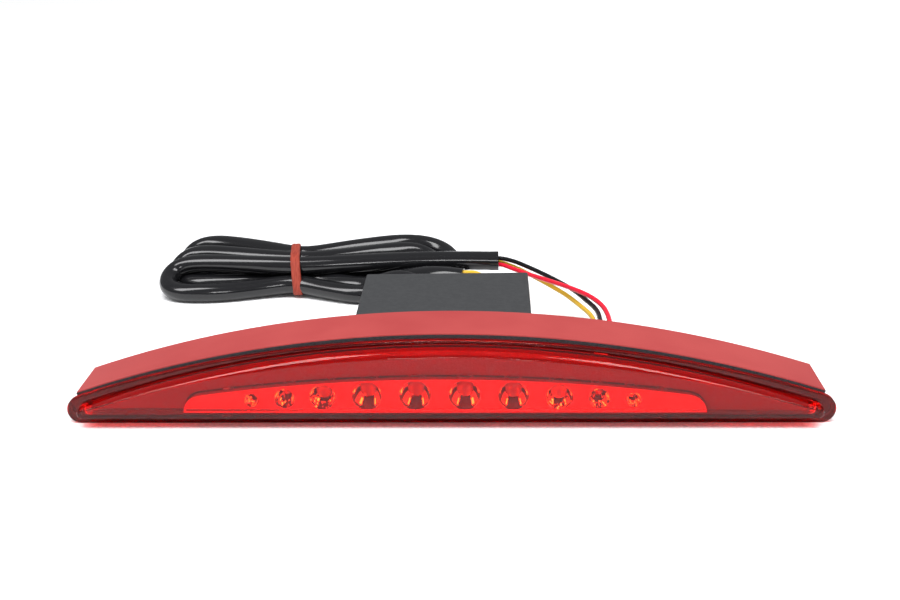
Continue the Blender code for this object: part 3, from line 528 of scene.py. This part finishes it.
def painted_reflection_look(angle, depth, muddle, chance):
    """Painted reflection (lit, shaded or glinting facet) for an angle in degrees clockwise from the top
    and a depth share of the bowl.
    """
    side = abs((angle + 180.0) % 360.0 - 180.0)
    if muddle > 0.3 and chance.random() < muddle:
        return chance.choice(MUDDLED) if depth < 0.6 else PAINTED_SHADE
    if depth < 0.15 or side > 150.0:
        return PAINTED_SHADE
    if side > 143.0:
        return PAINTED_GLINT if 0.3 < depth < 0.7 else PAINTED_LIT
    if side > 114.0:
        return PAINTED_LIT
    if side > 86.0:
        return PAINTED_SHADE
    if side > 66.0:
        return PAINTED_GLINT if depth < 0.4 else PAINTED_LIT
    return PAINTED_SHADE if depth > 0.75 else PAINTED_LIT


def make_cup(number, x, height, mouth, throat, muddle, looks):
    """Faceted bowl that lines a cup of the reflector plate, its facets painted with light, shade and
    glints in place of a mirror bowl's reflections.
    """
    chance = random.Random(number)
    front = CUP_FRONT + SKIN_GAP
    body = bmesh.new()
    rows = []
    for step in range(CUP_RINGS + 1):
        share = step / CUP_RINGS
        radius = throat + (mouth - throat) * math.sqrt(1.0 - share) - CUP_INSET
        back = front + (CUP_BACK - front) * share
        rows.append([body.verts.new((x + radius * math.sin(2.0 * math.pi * turn / CUP_SECTORS),
                                     FRONT + back,
                                     height + radius * math.cos(2.0 * math.pi * turn / CUP_SECTORS)))
                     for turn in range(CUP_SECTORS)])
    twist = chance.uniform(-5.0, 5.0)
    facets = []
    for turn in range(CUP_SECTORS):
        angle = 360.0 * (turn + 0.5) / CUP_SECTORS + twist
        after = (turn + 1) % CUP_SECTORS
        for step in range(CUP_RINGS):
            first, second = rows[step], rows[step + 1]
            body.faces.new((first[turn], first[after], second[after], second[turn]))
            facets.append(painted_reflection_look(angle, (step + 0.5) / CUP_RINGS, muddle, chance))
    cup = finish_mesh(f"cup_{number:02d}", body, looks["cup_painted_lit"])
    cup.data.materials.append(looks["cup_painted_shade"])
    cup.data.materials.append(looks["cup_painted_glint"])
    cup.data.polygons.foreach_set("material_index", facets)
    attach(cup, "root")


def make_led(number, looks):
    """Domed LED, a body of revolution inside its CAD node's box."""
    low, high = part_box(f"led_{number:02d}")
    rim = (high.x - low.x) / 2.0
    radius = rim - LED_RIM
    centre = (low + high) / 2.0
    profile = [(rim, high.y), (rim, high.y - LED_FOOT), (radius, high.y - LED_FOOT)]
    for step in range(DOME_STEPS):
        angle = math.radians(90.0) * step / DOME_STEPS
        profile.append((radius * math.cos(angle), low.y + radius - radius * math.sin(angle)))
    body = bmesh.new()
    rows = []
    for size, y in profile:
        rows.append([body.verts.new((centre.x + size * math.cos(2.0 * math.pi * turn / LED_SIDES), y,
                                     centre.z + size * math.sin(2.0 * math.pi * turn / LED_SIDES)))
                     for turn in range(LED_SIDES)])
    for first, second in zip(rows, rows[1:]):
        for turn in range(LED_SIDES):
            after = (turn + 1) % LED_SIDES
            body.faces.new((first[turn], first[after], second[after], second[turn]))
    body.faces.new(rows[0])
    body.faces.new(rows[-1])
    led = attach(finish_mesh(f"led_dome_{number:02d}", body, looks["led"]), "root")
    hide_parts(f"led_{number:02d}")


def make_cups(looks):
    for number, x, height, mouth, throat, muddle in cup_places():
        make_cup(number, x, height, mouth, throat, muddle, looks)
        make_led(number, looks)


# ---- tape ---------------------------------------------------------------------------------
def make_strip(name, node, inner_radius, outer_radius, finish):
    """Strip bent over the housing's arched top, inside its CAD node's ends."""
    low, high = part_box(node)
    half = math.asin((high.x - low.x) / 2.0 / outer_radius)
    body = bmesh.new()
    rows = []
    for back, radius in ((low.y, inner_radius), (low.y, outer_radius),
                         (high.y, outer_radius), (high.y, inner_radius)):
        row = []
        for step in range(STRIP_STEPS + 1):
            angle = half * (2.0 * step / STRIP_STEPS - 1.0)
            row.append(body.verts.new((radius * math.sin(angle), back,
                                       TAPE_CENTRE_Z + radius * math.cos(angle))))
        rows.append(row)
    for first, second in zip(rows, rows[1:] + rows[:1]):
        for step in range(STRIP_STEPS):
            body.faces.new((first[step], first[step + 1], second[step + 1], second[step]))
    body.faces.new([row[0] for row in rows])
    body.faces.new([row[-1] for row in rows])
    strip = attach(finish_mesh(name, body, finish), "root")
    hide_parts(node)


def make_tape(looks):
    make_strip("foam_strip", "foam_tape", FOAM_BOTTOM, LINER_BOTTOM, looks["foam"])
    make_strip("liner_strip", "tape_liner", LINER_BOTTOM, LINER_TOP, looks["liner"])


# ---- CAD nodes that keep their shape --------------------------------------------------------
def dress_nodes(looks):
    finishes = {"inner_bezel": "surround", "reflector_plate": "plate",
                "led_board": "board", "board_screw_left": "steel", "board_screw_right": "steel",
                "housing": "housing", "grommet": "rubber", "module_box": "box", "module_lid": "box",
                "driver_board": "board", "capacitor": "capacitor", "regulator": "chip",
                "resistor_1": "resistor", "resistor_2": "resistor", "resistor_3": "resistor",
                "lead_positive": "wire_red", "lead_negative": "wire_black"}
    for node, look in finishes.items():
        wear(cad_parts[node], looks[look])


# ---- floor and light ----------------------------------------------------------------------
def make_floor(looks):
    mesh = bpy.data.meshes.new("floor")
    corners = [(-FLOOR_REACH, -FLOOR_REACH, 0.0), (FLOOR_REACH, -FLOOR_REACH, 0.0),
               (FLOOR_REACH, FLOOR_REACH, 0.0), (-FLOOR_REACH, FLOOR_REACH, 0.0)]
    mesh.from_pydata(corners, [], [(0, 1, 2, 3)])
    floor = new_piece("floor", mesh, looks["floor"])
    floor.location.z = -FLOOR_GAP


def make_world():
    world = bpy.data.worlds.new("studio")
    world.use_nodes = True
    back = world.node_tree.nodes["Background"]
    back.inputs["Color"].default_value = (0.97, 0.98, 1.0, 1.0)
    back.inputs["Strength"].default_value = 0.3
    bpy.context.scene.world = world


def softbox(name, place, target, width, height, power):
    light = bpy.data.lights.new(name, "AREA")
    light.shape = "RECTANGLE"
    light.size = width
    light.size_y = height
    light.energy = power
    lamp = bpy.data.objects.new(name, light)
    lamp.location = place
    aim = Vector(target) - Vector(place)
    lamp.rotation_euler = aim.to_track_quat("-Z", "Y").to_euler()
    bpy.context.scene.collection.objects.link(lamp)


def make_sun():
    """Broad light from above, which whitens the whole floor."""
    light = bpy.data.lights.new("sun", "SUN")
    light.energy = 2.9
    light.angle = math.radians(35.0)
    lamp = bpy.data.objects.new("sun", light)
    lamp.rotation_euler = (math.radians(22.0), 0.0, 0.0)
    lamp.visible_glossy = False
    bpy.context.scene.collection.objects.link(lamp)


def make_lights():
    make_sun()
    softbox("left softbox", (-0.57, -0.38, 0.92), (0.0, 0.0, 0.0), 0.32, 0.90, 8.4)
    softbox("right softbox", (0.60, -0.38, 0.92), (0.0, 0.0, 0.0), 0.32, 0.90, 8.4)
    softbox("front softbox", (0.0, -1.05, 0.42), (0.0, 0.1, 0.0), 0.30, 0.08, 1.6)


# ---- build --------------------------------------------------------------------------------
def build():
    bpy.context.scene.view_settings.view_transform = "Standard"
    make_camera()
    looks = make_materials()
    make_wires(looks)
    tails = make_tails(looks)
    band = make_band(looks)
    rim = make_sleeve_rim(looks)
    make_sleeve(looks)
    make_lens(looks)
    make_seal(looks)
    make_cups(looks)
    make_tape(looks)
    dress_nodes(looks)
    make_floor(looks)
    make_world()
    make_lights()


build()
